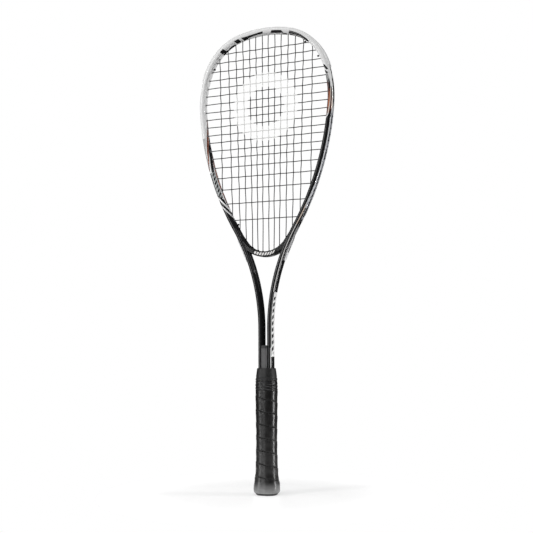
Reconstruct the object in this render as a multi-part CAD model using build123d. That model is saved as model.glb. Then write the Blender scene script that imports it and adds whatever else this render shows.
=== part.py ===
from build123d import *
import math
import os

# ---------------------------------------------------------------------------
# Squash racket.  Millimetres.  +Z runs up the racket from the butt to the tip
# of the head, the strings lie in the plane y = 0, and the origin is the middle
# of the flat butt end.
# ---------------------------------------------------------------------------

# ---- driving dimensions ----------------------------------------------------
TOP_Z = 681.0                 # centreline of the frame tube at the tip
ARC_R = [165.0, 77.878, 96.26, 159.77, 419.67, 293.5]     # hoop and arm radii, tip to shaft
ARC_A = [13.209, 42.011, 20.09, 19.36, 25.58, -30.25]     # their turns in degrees, minus = outwards
SHAFT_BOTTOM = 14.0           # lower end of the two shaft tubes

TUBE_W = 7.8                  # frame tube in the plane of the strings
TUBE_D = 14.4                 # frame tube across the strings
TUBE_R = 3.4                  # its corner radius
TUBE_WALL = 1.2
CHANNEL_D = 1.7               # string channel round the outside of the tube
CHANNEL_W = 6.0

STRIP_T = 0.55                # base of the grommet strips
STRIP_W = 5.8
STRING_GROOVE = 4.2           # open groove in the strips, where the strings turn
BARREL_R = 1.6                # grommet barrels
BORE_R = 1.0
HOLE_CLEAR = 0.05
BARREL_PROUD = 0.8            # how far a barrel stands out of the inner face
BUMPER_T = 1.05               # bumper wings over the tube at the tip
BUMPER_S = 128.0              # half length of the bumper along the hoop
STRIP_END_Z = 337.0           # lower end of the side strips
TAIL_S, TAIL_H = 373.0, 2.1   # the strips' lower ends stand proud of the tube from this arc length on
TAIL_SLOT_S = 409.0           # end of the open groove in the proud length

BRIDGE_C = 388.0              # height of the centre of the bridge's arc
BRIDGE_RI = 38.0              # inner (string side) radius
BRIDGE_RO = 46.0              # outer (throat side) radius
BRIDGE_D = 13.2
BRIDGE_TURN = 55.0            # half angle of the arc before it runs off along the arms

STRING_D = 1.25
WEAVE = 0.64                  # how far each string is pushed aside at a crossing
CROSS_Z = [655.6, 642.5, 629.1, 616.5, 604.0, 592.2, 579.3, 567.0, 555.4, 543.7,
           531.0, 519.7, 506.8, 494.8, 480.3, 464.1, 446.2, 424.3, 398.9]
MAIN_X = [4.9, 14.0, 23.5, 33.8, 44.6, 56.7, 71.9]        # half spacing at z = 500
MAIN_FAN = [0.0, 0.86, 1.43, 1.80, 2.40, 2.80, 2.17]      # how it grows per 100 mm upwards

INSERT_TOP = 213.0
INSERT_W = 8.4
INSERT_FRONT = 10.4

PALLET_W, PALLET_DEPTH, PALLET_R = 26.0, 24.2, 10.4
PALLET_Z = (5.0, 176.0)
PALLET_SPLIT = 0.2

# grip outside: z, width, depth, corner radius
GRIP = [(3.0, 35.0, 32.6, 14.0), (6.5, 37.0, 34.6, 14.6), (12.0, 36.6, 34.2, 14.4),
        (22.0, 33.6, 31.4, 13.4), (34.0, 31.2, 29.2, 12.6), (56.0, 29.8, 27.9, 12.1),
        (82.0, 29.4, 27.6, 12.0), (114.0, 30.2, 28.3, 12.2), (148.0, 31.0, 29.0, 12.5)]
TAPE = [(148.2, 31.2, 29.2, 12.6), (155.0, 31.2, 29.2, 12.6), (162.0, 30.6, 28.6, 12.3)]
COLLAR = [(162.2, 30.6, 28.6, 12.3), (170.0, 29.0, 27.2, 11.8), (180.0, 26.6, 24.9, 11.0)]
CAP = [(0.0, 29.0, 26.8, 12.0), (1.6, 31.4, 29.0, 12.8), (6.5, 33.0, 30.6, 13.2),
       (12.0, 32.6, 30.2, 13.0), (22.0, 29.6, 27.4, 11.8)]
BADGE_R = 9.0

EPS = 1e-6
os.makedirs("parts", exist_ok=True)
MADE = []


def keep(shape, name):
    """Write one sub-part, made up of its own solids."""
    shape.label = name
    solids = shape.solids()
    out = solids[0] if len(solids) == 1 else Compound(children=list(solids), label=name)
    export_step(out, f"parts/{name}.step")
    MADE.append(name)
    print(f"{name:28s} solids {len(solids):3d}  volume {sum(s.volume for s in solids):10.1f}")
    return shape


# ---- the hoop's centreline as tangent arcs, right half -----------------------
class Arc2:
    def __init__(self, x, z, head, radius, turn, s0):
        self.x, self.z, self.head, self.R = x, z, head, radius
        self.turn = math.radians(turn)
        self.sg = 1.0 if turn > 0 else -1.0
        self.length = abs(self.turn) * radius
        self.s0 = s0
        # the centre lies to the inner side of a clockwise turn
        self.cx = x - math.sin(head) * radius * self.sg
        self.cz = z - math.cos(head) * radius * self.sg

    def at(self, s, u=0.0):
        h = self.head + self.sg * (s - self.s0) / self.R
        nx, nz = math.sin(h), math.cos(h)
        r = self.R * self.sg + u
        return self.cx + nx * r, self.cz + nz * r, nx, nz


ARCS = []
_x, _z, _h, _s = 0.0, TOP_Z, 0.0, 0.0
for _r, _a in zip(ARC_R, ARC_A):
    arc = Arc2(_x, _z, _h, _r, _a, _s)
    ARCS.append(arc)
    _s += arc.length
    _x, _z, _, _ = arc.at(_s)
    _h += arc.turn
S_ARCS, SHAFT_X, SHAFT_TOP = _s, _x, _z


def hoop(s, u=0.0):
    """Point (x, z) and outward normal at signed arc length s, u outside the centreline."""
    side = 1.0 if s >= 0 else -1.0
    a = abs(s)
    if a >= S_ARCS:
        return side * (SHAFT_X + u), SHAFT_TOP - (a - S_ARCS), side, 0.0
    for arc in ARCS:
        if a <= arc.s0 + arc.length + EPS:
            x, z, nx, nz = arc.at(a, u)
            return side * x, z, side * nx, nz


def s_at_z(z):
    lo, hi = 60.0, S_ARCS + 250.0
    for _ in range(60):
        mid = (lo + hi) / 2
        if hoop(mid)[1] > z:
            lo = mid
        else:
            hi = mid
    return (lo + hi) / 2


def locate(x, z):
    """Signed arc length and outward offset of the point nearest on the hoop."""
    side = 1.0 if x >= 0 else -1.0
    x = abs(x)
    best = None
    for arc in ARCS:
        vx, vz = x - arc.cx, z - arc.cz
        r = math.hypot(vx, vz)
        h = math.atan2(vx * arc.sg, vz * arc.sg)
        d = (h - arc.head) * arc.sg * arc.R
        if -0.02 <= d <= arc.length + 0.02:
            u = (r - arc.R) * arc.sg
            if best is None or abs(u) < abs(best[1]):
                best = (side * (arc.s0 + d), u)
    return best


def v3(x, z, y=0.0):
    return Vector(x, y, z)


def hoop_wire(s0, s1, u=0.0):
    """Wire along the hoop from s0 to s1 (s0 < s1)."""
    cuts = {s0, s1}
    for arc in ARCS:
        for e in (arc.s0, arc.s0 + arc.length):
            for v in (e, -e):
                if s0 + EPS < v < s1 - EPS and abs(v) > EPS:
                    cuts.add(v)
    if s0 < 0 < s1:
        cuts.discard(0.0)
    cuts = sorted(cuts)
    edges = []
    for a, b in zip(cuts[:-1], cuts[1:]):
        m = (a + b) / 2
        pa, pm, pb = hoop(a, u), hoop(m, u), hoop(b, u)
        if abs(m) > S_ARCS:
            edges.append(Edge.make_line(v3(*pa[:2]), v3(*pb[:2])))
        else:
            edges.append(Edge.make_three_point_arc(v3(*pa[:2]), v3(*pm[:2]), v3(*pb[:2])))
    return Wire(edges)


def section_plane(s):
    """Plane across the hoop at s: local x points outwards, local y is the model's y."""
    x, z, nx, nz = hoop(s)
    return Plane(origin=(x, 0, z), x_dir=(nx, 0, nz), z_dir=(nz, 0, -nx))


def sweep_along(sketch, s0, s1):
    """Sweep a section drawn with x outwards and y across the strings."""
    face = section_plane(s0) * sketch
    return sweep(face, path=hoop_wire(s0, s1))


# The section plane's own y axis must be the model's +Y, whichever way it turns
def tube_profile(grow=0.0):
    return RectangleRounded(TUBE_W + 2 * grow, TUBE_D + 2 * grow, TUBE_R + grow)


S_SHAFT = S_ARCS + (SHAFT_TOP - SHAFT_BOTTOM)
S_STRIP = s_at_z(STRIP_END_Z)
CH_FLOOR = TUBE_W / 2 - CHANNEL_D
STRING_U = CH_FLOOR + STRIP_T + STRING_D / 2 + 0.12     # centreline of a string in the groove
print("shaft centre x %.2f, arcs end at z %.1f, half length %.1f" % (SHAFT_X, SHAFT_TOP, S_SHAFT))

# ---- where each string meets the frame ---------------------------------------
# A hole has: mouth (x, z) at the inner end of its grommet barrel, direction, exit
# (x, z) where the string's centreline turns in the outer groove, and its host.
MOUTH_U = -TUBE_W / 2 - BARREL_PROUD


def blend_dir(tx, tz, nx, nz, k=0.5):
    x, z = tx * (1 - k) + nx * k, tz * (1 - k) + nz * k
    n = math.hypot(x, z)
    return x / n, z / n


def ray_exit(px, pz, dx, dz, target):
    lo, hi = 2.0, 40.0
    t, last = lo, None
    while t < hi:
        loc = locate(px + dx * t, pz + dz * t)
        if loc and loc[1] >= target:
            a, b = t - 0.25, t
            for _ in range(40):
                m = (a + b) / 2
                if locate(px + dx * m, pz + dz * m)[1] >= target:
                    b = m
                else:
                    a = m
            return px + dx * b, pz + dz * b
        t += 0.25
    raise ValueError("string hole does not leave the tube")


def main_x(i, z):
    return MAIN_X[i] + MAIN_FAN[i] * (z - 500.0) / 100.0


class Hole:
    pass


def tube_hole(px, pz, tx, tz, k=0.5, name=""):
    """px, pz is on the string's line at the mouth; t is the string's direction, outwards."""
    h = Hole()
    s, u = locate(px, pz)
    _, _, nx, nz = hoop(s)
    h.px, h.pz = px, pz
    h.dx, h.dz = blend_dir(tx, tz, nx, nz, k)
    h.ex, h.ez = ray_exit(px, pz, h.dx, h.dz, STRING_U)
    h.s = locate(h.ex, h.ez)[0]
    h.host, h.name = "tube", name
    return h


def mirror_hole(h):
    m = Hole()
    m.px, m.pz, m.dx, m.dz, m.ex, m.ez, m.s, m.host, m.name = (
        -h.px, h.pz, -h.dx, h.dz, -h.ex, h.ez, -h.s, h.host, h.name)
    return m


def bisect(f, a, b):
    fa = f(a)
    for _ in range(60):
        m = (a + b) / 2
        fm = f(m)
        if (fm > 0) == (fa > 0):
            a, fa = m, fm
        else:
            b = m
    return (a + b) / 2


def offset_of(x, z):
    loc = locate(x, z)
    return loc[1] if loc else -99.0


HOLES = []          # right-hand holes, mirrored for the left
main_top, main_bot, cross_end = [], [], []
for i in range(7):
    z = bisect(lambda zz: offset_of(main_x(i, zz), zz) - MOUTH_U, 600.0, 690.0)
    n = math.hypot(MAIN_FAN[i] / 100.0, 1.0)
    h = tube_hole(main_x(i, z), z, MAIN_FAN[i] / 100.0 / n, 1.0 / n,
                  0.7 if i == 6 else 0.5, f"main_top_{i}")
    main_top.append(h)
    if i < 3:                                    # through the bridge into the throat
        rr = BRIDGE_RI - BARREL_PROUD
        z = bisect(lambda zz: math.hypot(main_x(i, zz), zz - BRIDGE_C) - rr, 345.0, 372.0)
        h = Hole()
        h.px, h.pz = main_x(i, z), z
        h.dx, h.dz = -MAIN_FAN[i] / 100.0 / n, -1.0 / n
        rs = BRIDGE_RO - CHANNEL_D + STRIP_T + STRING_D / 2 + 0.12
        z2 = bisect(lambda zz: math.hypot(main_x(i, zz), zz - BRIDGE_C) - rs, 335.0, 362.0)
        h.ex, h.ez, h.s, h.host, h.name = main_x(i, z2), z2, 0.0, "bridge", f"main_bottom_{i}"
    elif i == 3:                                 # through the bridge's wing and the arm
        rr = BRIDGE_RI - BARREL_PROUD
        z = bisect(lambda zz: math.hypot(main_x(i, zz), zz - BRIDGE_C) - rr, 345.0, 385.0)
        h = Hole()
        h.px, h.pz = main_x(i, z), z
        h.dx, h.dz = blend_dir(-MAIN_FAN[i] / 100.0 / n, -1.0 / n, 0.92, -0.39, 0.45)
        h.ex, h.ez = ray_exit(h.px, h.pz, h.dx, h.dz, STRING_U)
        h.s, h.host, h.name = locate(h.ex, h.ez)[0], "tube", f"main_bottom_{i}"
    else:
        z = bisect(lambda zz: offset_of(main_x(i, zz), zz) - MOUTH_U, 365.0, 500.0)
        h = tube_hole(main_x(i, z), z, -MAIN_FAN[i] / 100.0 / n, -1.0 / n,
                      {4: 0.6, 5: 0.85, 6: 0.7}[i], f"main_bottom_{i}")
    main_bot.append(h)
for j, z in enumerate(CROSS_Z):
    x = bisect(lambda xx: offset_of(xx, z) - MOUTH_U, 20.0, 112.0)
    cross_end.append(tube_hole(x, z, 1.0, 0.0, {0: 0.7, 18: 0.3}.get(j, 0.5), f"cross_{j}"))


def tie_hole(s, name):
    """A spare hole square to the hoop, where a string's end is tied off."""
    x, z, nx, nz = hoop(s, MOUTH_U)
    h = Hole()
    h.px, h.pz, h.dx, h.dz = x, z, nx, nz
    h.ex, h.ez, _, _ = hoop(s, STRING_U)
    h.s, h.host, h.name = s, "tube", name
    return h


def mid_s(a, b):
    return (a.s + b.s) / 2


TIE_MAIN = mid_s(cross_end[1], cross_end[2])          # mains, both sides, below the second cross
TIE_TOP = mid_s(main_top[5], cross_end[0])            # first cross, right side
TIE_LOW = mid_s(cross_end[18], main_bot[4])           # last cross, left side
tie_main_r = tie_hole(TIE_MAIN, "tie_main_right")
tie_main_l = mirror_hole(tie_main_r)
tie_cross_top = tie_hole(TIE_TOP, "tie_cross_top")
tie_cross_low = tie_hole(-TIE_LOW, "tie_cross_low")

right_holes = main_top + main_bot + cross_end
all_holes = right_holes + [mirror_hole(h) for h in right_holes]
all_holes += [tie_main_r, tie_main_l, tie_cross_top, tie_cross_low]
tube_holes = [h for h in all_holes if h.host == "tube"]
bridge_holes = [h for h in all_holes if h.host == "bridge"]
tight = sorted(((math.hypot(a.ex - b.ex, a.ez - b.ez), a.name, b.name)
                for k, a in enumerate(tube_holes) for b in tube_holes[k + 1:]
                if a.s * b.s > 0 or min(abs(a.s), abs(b.s)) < 20))[:5]
print("closest hole exits:", [(round(d, 1), a, b) for d, a, b in tight])


def rod(h, r, start, end):
    """Cylinder about a hole's axis, from start past the mouth to end past the exit."""
    length = math.hypot(h.ex - h.px, h.ez - h.pz) + start + end
    p = Plane(origin=(h.px - h.dx * start, 0, h.pz - h.dz * start), z_dir=(h.dx, 0, h.dz))
    return p * Cylinder(r, length, align=(Align.CENTER, Align.CENTER, Align.MIN))


# ---- frame tube ----------------------------------------------------------------
envelope = sweep_along(tube_profile(), -S_SHAFT, S_SHAFT)
hollow_w = TUBE_W - TUBE_WALL * 2 - CHANNEL_D
hollow = sweep_along(
    Pos(-CHANNEL_D / 2, 0) * RectangleRounded(hollow_w, TUBE_D - 2 * TUBE_WALL, hollow_w / 2 - 0.05),
    -S_SHAFT, S_SHAFT)
channel = sweep_along(Pos(TUBE_W / 2 - CHANNEL_D / 2 + 1, 0) * Rectangle(CHANNEL_D + 2, CHANNEL_W),
                      -S_STRIP, S_STRIP)
print("envelope %.0f hollow %.0f channel %.0f" % (envelope.volume, hollow.volume, channel.volume))
frame = envelope - hollow - channel
frame = frame - [rod(h, BARREL_R + HOLE_CLEAR, 2.0, 3.0) for h in tube_holes]
keep(frame, "frame_tube")

# ---- throat bridge ---------------------------------------------------------------
t = math.radians(BRIDGE_TURN)
ax, az = BRIDGE_RI * math.sin(t), BRIDGE_C - BRIDGE_RI * math.cos(t)
run = 14.6
bx, bz = ax + run * math.cos(t), az + run * math.sin(t)
centre_pts = []
zz = bz + 0.4
while zz > 345.5:
    centre_pts.append((hoop(s_at_z(zz))[0], zz))
    zz -= 5.0
low_t = math.asin(27.4 / BRIDGE_RO)
lx, lz = BRIDGE_RO * math.sin(low_t), BRIDGE_C - BRIDGE_RO * math.cos(low_t)
with BuildPart() as bridge_b:
    with BuildSketch(Plane(origin=(0, BRIDGE_D / 2, 0), x_dir=(1, 0, 0), z_dir=(0, -1, 0))) as sk:
        with BuildLine():
            ThreePointArc((-ax, az), (0, BRIDGE_C - BRIDGE_RI), (ax, az))
            Polyline((ax, az), (bx, bz), *centre_pts, (lx, lz))
            ThreePointArc((lx, lz), (0, BRIDGE_C - BRIDGE_RO), (-lx, lz))
            Polyline((-lx, lz), *[(-p, q) for p, q in reversed(centre_pts)], (-bx, bz), (-ax, az))
        make_face()
    extrude(amount=BRIDGE_D)
bridge = bridge_b.part
arcs = [e for e in bridge.edges()
        if e.geom_type == GeomType.CIRCLE and abs(abs(e.center().Y) - BRIDGE_D / 2) < 0.01]
bridge = fillet(arcs, 2.2)
bridge = bridge - envelope
bridge = max(bridge.solids(), key=lambda s: s.volume)
# moulded ribs that follow the arc, front and back
cuts = []
for rr in (40.6, 42.2, 43.8):
    ring = Cylinder(rr + 0.3, 1.0) - Cylinder(rr - 0.3, 1.0)
    for side in (-1, 1):
        cuts.append(Pos(0, side * (BRIDGE_D / 2 + 0.15), BRIDGE_C) * (Rot(90, 0, 0) * ring))
clear = Pos(0, 0, 350) * Box(24.0, 40, 40)
bridge = Part() + bridge - [c - clear for c in cuts]
channel_b = (Cylinder(BRIDGE_RO + 3, CHANNEL_W) - Cylinder(BRIDGE_RO - CHANNEL_D, CHANNEL_W))
channel_b = Pos(0, 0, BRIDGE_C) * (Rot(90, 0, 0) * channel_b)
channel_b = channel_b & (Pos(0, 0, 340) * Box(50.0, 20, 40))
bridge = bridge - channel_b
bridge = bridge - [rod(h, BARREL_R + HOLE_CLEAR, 2.0, 3.0) for h in bridge_holes]
wing_holes = [h for h in tube_holes if h.name.startswith("main_bottom_3")]
bridge = bridge - [rod(h, BARREL_R + HOLE_CLEAR, 2.0, 3.0) for h in wing_holes]
keep(bridge, "throat_bridge")

# ---- grommet strips ----------------------------------------------------------------
strip_core = (Pos(CH_FLOOR + CHANNEL_D / 2 + 0.02, 0) * Rectangle(CHANNEL_D - 0.04, STRIP_W)
              - Pos(CH_FLOOR + STRIP_T + 5, 0) * Rectangle(10, STRING_GROOVE))
wings = (tube_profile(BUMPER_T) - tube_profile(0.03)) & (Pos(10 + 1.2, 0) * Rectangle(20, 12.4))
lip = Pos(CH_FLOOR + (CHANNEL_D + BUMPER_T) / 2 + 0.02, 0) * Rectangle(CHANNEL_D + BUMPER_T - 0.04, STRIP_W)
bumper_profile = (wings + lip) - Pos(CH_FLOOR + STRIP_T + 5, 0) * Rectangle(10, STRING_GROOVE)


def with_barrels(body, holes):
    rods = [rod(h, BARREL_R, 0.0, -(STRING_D / 2 + 0.08)) for h in holes]
    body = body + rods
    body = body - [rod(h, BORE_R, 1.0, 4.0) for h in holes]
    return body


def strip(profile, s0, s1, holes):
    return with_barrels(sweep_along(profile, s0, s1), holes)


def between(lo, hi):
    return [h for h in tube_holes if lo <= h.s <= hi]


bumper = strip(bumper_profile, -BUMPER_S, BUMPER_S, between(-BUMPER_S, BUMPER_S))
keep(bumper, "bumper_guard")
right_strip = strip(strip_core, BUMPER_S + 0.4, S_STRIP - 0.2, between(BUMPER_S, S_STRIP))
left_strip = strip(strip_core, -S_STRIP + 0.2, -BUMPER_S - 0.4, between(-S_STRIP, -BUMPER_S))


def tail_rise(s):
    """Height of the proud end above the tube's side: a long ramp, a flat and a rounded nose."""
    up = min(1.0, max(0.0, (s - TAIL_S) / 20.0))
    down = min(1.0, max(0.0, (S_STRIP - 0.2 - s) / 5.0))
    return TAIL_H * up * up * (3 - 2 * up) * math.sqrt(1 - (1 - down) ** 2 * 0.85)


def slab(side, s0, s1, low, high, half):
    """Solid between two offsets of the hoop, low and high, from y = -half to y = half."""
    steps = [s0 + (s1 - s0) * k / 32 for k in range(33)]
    pts = []
    for s in steps:
        x, z, _, _ = hoop(side * s, low(s))
        pts.append((x, 0, z))
    for s in reversed(steps):
        x, z, _, _ = hoop(side * s, high(s))
        pts.append((x, 0, z))
    return extrude(make_face(Polyline(*pts, close=True)), amount=half, dir=(0, 1, 0), both=True)


def with_tail(body, side):
    base, top = CH_FLOOR + 0.2, TUBE_W / 2
    proud = slab(side, TAIL_S, S_STRIP - 0.2, lambda s: base, lambda s: top - 0.02 + tail_rise(s), STRIP_W / 2)
    slot = slab(side, TAIL_S - 1, TAIL_SLOT_S, lambda s: CH_FLOOR + STRIP_T, lambda s: top + TAIL_H + 2,
                STRING_GROOVE / 2)
    return body + (proud - slot)


right_strip = with_tail(right_strip, 1)
left_strip = with_tail(left_strip, -1)
keep(right_strip, "side_grommet_strip_right")
keep(left_strip, "side_grommet_strip_left")

ro, ri = BRIDGE_RO - 0.05, BRIDGE_RO - CHANNEL_D + 0.02
bs = Cylinder(ro, STRIP_W) - Cylinder(ri, STRIP_W)
bs = bs - (Cylinder(ro + 2, STRING_GROOVE) - Cylinder(ri + STRIP_T, STRING_GROOVE))
bs = Pos(0, 0, BRIDGE_C) * (Rot(90, 0, 0) * bs)
bs = bs & (Pos(0, 0, 340) * Box(47.0, 20, 40))
bs = with_barrels(bs, bridge_holes)
bs = bs - envelope
bs = max(bs.solids(), key=lambda s: s.volume)
keep(bs, "bridge_grommet_strip")


# ---- strings ---------------------------------------------------------------------------
def route_wire(points, radii):
    """Straight runs joined by tangent arcs; returns the wire and its length."""
    edges, length = [], 0.0
    start = points[0]
    for k in range(1, len(points) - 1):
        p0, p1, p2 = points[k - 1], points[k], points[k + 1]
        a, b = (p1 - p0), (p2 - p1)
        la, lb = a.length, b.length
        a, b = a / la, b / lb
        turn = math.acos(max(-1.0, min(1.0, a.dot(b))))
        if turn < 1e-4:
            continue
        r = radii[k] if radii[k] else 0.45 * min(la, lb) / math.tan(turn / 2)
        tan = min(r * math.tan(turn / 2), 0.46 * min(la, lb))
        r = tan / math.tan(turn / 2)
        q0, q2 = p1 - a * tan, p1 + b * tan
        bis = (b - a).normalized()
        q1 = p1 + bis * (r / math.cos(turn / 2) - r)
        if (q0 - start).length > 1e-4:
            edges.append(Edge.make_line(start, q0))
        edges.append(Edge.make_three_point_arc(q0, q1, q2))
        start = q2
    if (points[-1] - start).length > 1e-4:
        edges.append(Edge.make_line(start, points[-1]))
    length = sum(e.length for e in edges)
    return Wire(edges), length, edges


def sweep_string(points, radii, name):
    wire, length, edges = route_wire(points, radii)
    d = (edges[0] % 0)
    face = Plane(origin=edges[0] @ 0, z_dir=d) * Circle(STRING_D / 2)
    body = sweep(face, path=wire)
    want = math.pi * STRING_D ** 2 / 4 * length
    tight = [e.radius for e in edges if e.geom_type == GeomType.CIRCLE]
    print("%s length %.0f mm, volume %.1f of %.1f, radii %.2f to %.1f, edges %d"
          % (name, length, body.volume, want, min(tight), max(tight), len(edges)))
    return body, length


WEAVE_H = WEAVE / 0.55          # control points stand out further than the smooth arcs reach
MOUTH_R, TURN_R = 2.4, 0.85


def loop_points(a, b, y):
    """Points in the outer groove between the exits of holes a and b."""
    pts = []
    if a.host == "bridge":
        rs = math.hypot(a.ex, a.ez - BRIDGE_C)
        t0, t1 = math.atan2(a.ex, BRIDGE_C - a.ez), math.atan2(b.ex, BRIDGE_C - b.ez)
        for f in (0.5,):
            t = t0 + (t1 - t0) * f
            pts.append(v3(rs * math.sin(t), BRIDGE_C - rs * math.cos(t), y))
        return pts
    n = max(2, int(abs(b.s - a.s) / 9.0) + 1)
    for k in range(1, n):
        x, z, _, _ = hoop(a.s + (b.s - a.s) * k / n, STRING_U)
        pts.append(v3(x, z, y))
    return pts


def tie_loop(a, b, y):
    return loop_points(a, b, y)


class Route:
    def __init__(self):
        self.p, self.r = [], []

    def add(self, p, r=0.0):
        self.p.append(p)
        self.r.append(r)

    def hole_in(self, h):        # from the outer groove through the frame to the bed
        self.add(v3(h.ex, h.ez), TURN_R)
        self.add(v3(h.px, h.pz), MOUTH_R)

    def hole_out(self, h):
        self.add(v3(h.px, h.pz), MOUTH_R)
        self.add(v3(h.ex, h.ez), TURN_R)

    def loop(self, a, b, y):
        for p in loop_points(a, b, y):
            self.add(p, 0.0)


# mains numbered -7..-1, 1..7 from left to right; crosses 0..18 from the tip down
def side_hole(lst, m):
    h = lst[abs(m) - 1]
    return h if m > 0 else mirror_hole(h)


def main_column(m):
    return m + 7 if m < 0 else m + 6              # 0..13


def over(col, row):
    return 1.0 if (col + row) % 2 == 0 else -1.0


def weave_height(run):
    """Next to a grommet the string has little room to curve, and reaches its full height."""
    return WEAVE_H if run > 5.0 else 0.78


def main_run(route, m, upwards):
    col = main_column(m)
    top, bot = side_hole(main_top, m), side_hole(main_bot, m)
    rows = [j for j, z in enumerate(CROSS_Z) if bot.pz + 1 < z < top.pz - 1]
    if upwards:
        rows = rows[::-1]
    sgn = 1 if m > 0 else -1
    for j in rows:
        z = CROSS_Z[j]
        near = min(z - bot.pz, top.pz - z)
        route.add(v3(sgn * main_x(abs(m) - 1, z), z, over(col, j) * weave_height(near)))


def offset_for(m):
    return -1.27 if abs(m) >= 6 else 0.0


mains = Route()
order = [-7, -6, -5, -4, -3, -2, -1, 1, 2, 3, 4, 5, 6, 7]
# left end: knot, out of the tie hole, up the groove, in through the outermost hole
x0, z0 = tie_main_l.px - tie_main_l.dx * 1.6, tie_main_l.pz - tie_main_l.dz * 1.6
KNOT_ML = v3(x0, z0)
mains.add(KNOT_ML)
mains.add(v3(tie_main_l.ex, tie_main_l.ez), TURN_R)
mains.loop(tie_main_l, side_hole(main_top, -7), -1.27)
mains.hole_in(side_hole(main_top, -7))
downwards = True
for k, m in enumerate(order):
    main_run(mains, m, not downwards)
    here = side_hole(main_bot if downwards else main_top, m)
    if k < len(order) - 1:
        nxt = side_hole(main_bot if downwards else main_top, order[k + 1])
        mains.hole_out(here)
        mains.loop(here, nxt, offset_for(m) if downwards and abs(m) >= 6 else 0.0)
        mains.hole_in(nxt)
    else:
        mains.hole_out(here)
        mains.loop(here, tie_main_r, -1.27)
        mains.add(v3(tie_main_r.ex, tie_main_r.ez), TURN_R)
        KNOT_MR = v3(tie_main_r.px - tie_main_r.dx * 1.6, tie_main_r.pz - tie_main_r.dz * 1.6)
        mains.add(KNOT_MR)
    downwards = not downwards
main_body, MAIN_LENGTH = sweep_string(mains.p, mains.r, "main string")


def knot(at, normal):
    """A tied knot: three close turns of the string pulled tight about its end."""
    pl = Plane(origin=at, z_dir=normal)
    ball = pl * Sphere(1.45)
    return ball


main_body = main_body + [knot(KNOT_ML, (tie_main_l.dx, 0, tie_main_l.dz)),
                         knot(KNOT_MR, (tie_main_r.dx, 0, tie_main_r.dz))]
keep(main_body, "main_string")

crosses = Route()
KNOT_CT = v3(tie_cross_top.px - tie_cross_top.dx * 1.6, tie_cross_top.pz - tie_cross_top.dz * 1.6)
crosses.add(KNOT_CT)
crosses.add(v3(tie_cross_top.ex, tie_cross_top.ez), TURN_R)
crosses.loop(tie_cross_top, cross_end[0], 0.0)
crosses.hole_in(cross_end[0])
to_left = True
for j, z in enumerate(CROSS_Z):
    near = cross_end[j] if to_left else mirror_hole(cross_end[j])
    far = mirror_hole(cross_end[j]) if to_left else cross_end[j]
    ms = [m for m in order if abs(main_x(abs(m) - 1, z)) < abs(near.px) - 0.9]
    # only the mains whose run reaches this height
    ms = [m for m in ms if side_hole(main_bot, m).pz + 1 < z < side_hole(main_top, m).pz - 1]
    if to_left:
        ms = ms[::-1]
    for m in ms:
        sgn = 1 if m > 0 else -1
        x = main_x(abs(m) - 1, z)
        crosses.add(v3(sgn * x, z, -over(main_column(m), j) * weave_height(abs(near.px) - x)))
    crosses.hole_out(far)
    if j < len(CROSS_Z) - 1:
        nxt = mirror_hole(cross_end[j + 1]) if to_left else cross_end[j + 1]
        crosses.loop(far, nxt, 1.27 if j in (0, 1, 16, 17) else 0.0)
        crosses.hole_in(nxt)
    else:
        crosses.loop(far, tie_cross_low, 0.0)
        crosses.add(v3(tie_cross_low.ex, tie_cross_low.ez), TURN_R)
        KNOT_CL = v3(tie_cross_low.px - tie_cross_low.dx * 1.6, tie_cross_low.pz - tie_cross_low.dz * 1.6)
        crosses.add(KNOT_CL)
    to_left = not to_left
cross_body, CROSS_LENGTH = sweep_string(crosses.p, crosses.r, "cross string")
cross_body = cross_body + [knot(KNOT_CT, (tie_cross_top.dx, 0, tie_cross_top.dz)),
                           knot(KNOT_CL, (tie_cross_low.dx, 0, tie_cross_low.dz))]
keep(cross_body, "cross_string")


# ---- shaft insert -------------------------------------------------------------------------
with BuildPart() as ins_b:
    with BuildSketch(Plane.XY.offset(150.0)):
        RectangleRounded(INSERT_W, 2 * INSERT_FRONT, 1.6)
    extrude(amount=INSERT_TOP - 150.0)
    tops = ins_b.part.edges().filter_by_position(Axis.Z, INSERT_TOP - 0.01, INSERT_TOP + 0.01)
    fillet(tops, 1.5)
insert = ins_b.part - envelope
insert = max(insert.solids(), key=lambda s: s.volume)
keep(insert, "shaft_insert")


# ---- handle ---------------------------------------------------------------------------------
def rr(z, w, d, r):
    return Plane.XY.offset(z) * RectangleRounded(w, d, r)


def stack(rows, grow=0.0):
    return loft([rr(z, w + 2 * grow, d + 2 * grow, r + grow) for z, w, d, r in rows], ruled=True)


pallet = loft([rr(z, PALLET_W, PALLET_DEPTH, PALLET_R) for z in PALLET_Z], ruled=True)
pallet = pallet - envelope - insert
halves = []
for side, name in ((-1, "handle_pallet_front"), (1, "handle_pallet_back")):
    half = pallet & (Pos(0, side * (20 + PALLET_SPLIT / 2), 90) * Box(80, 40, 200))
    halves.append(max(half.solids(), key=lambda s: s.volume))

cap = stack(CAP)
cap = cap - loft([rr(z, PALLET_W + 0.1, PALLET_DEPTH + 0.1, PALLET_R) for z in (PALLET_Z[0] - 0.05, 30)], ruled=True)
cap = cap - Cylinder(BADGE_R + 0.1, 1.2, align=(Align.CENTER, Align.CENTER, Align.MIN))
cap = cap - (Pos(0, 0, 1.0) * Cylinder(3.0, 8.0, align=(Align.CENTER, Align.CENTER, Align.MIN)))

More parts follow.
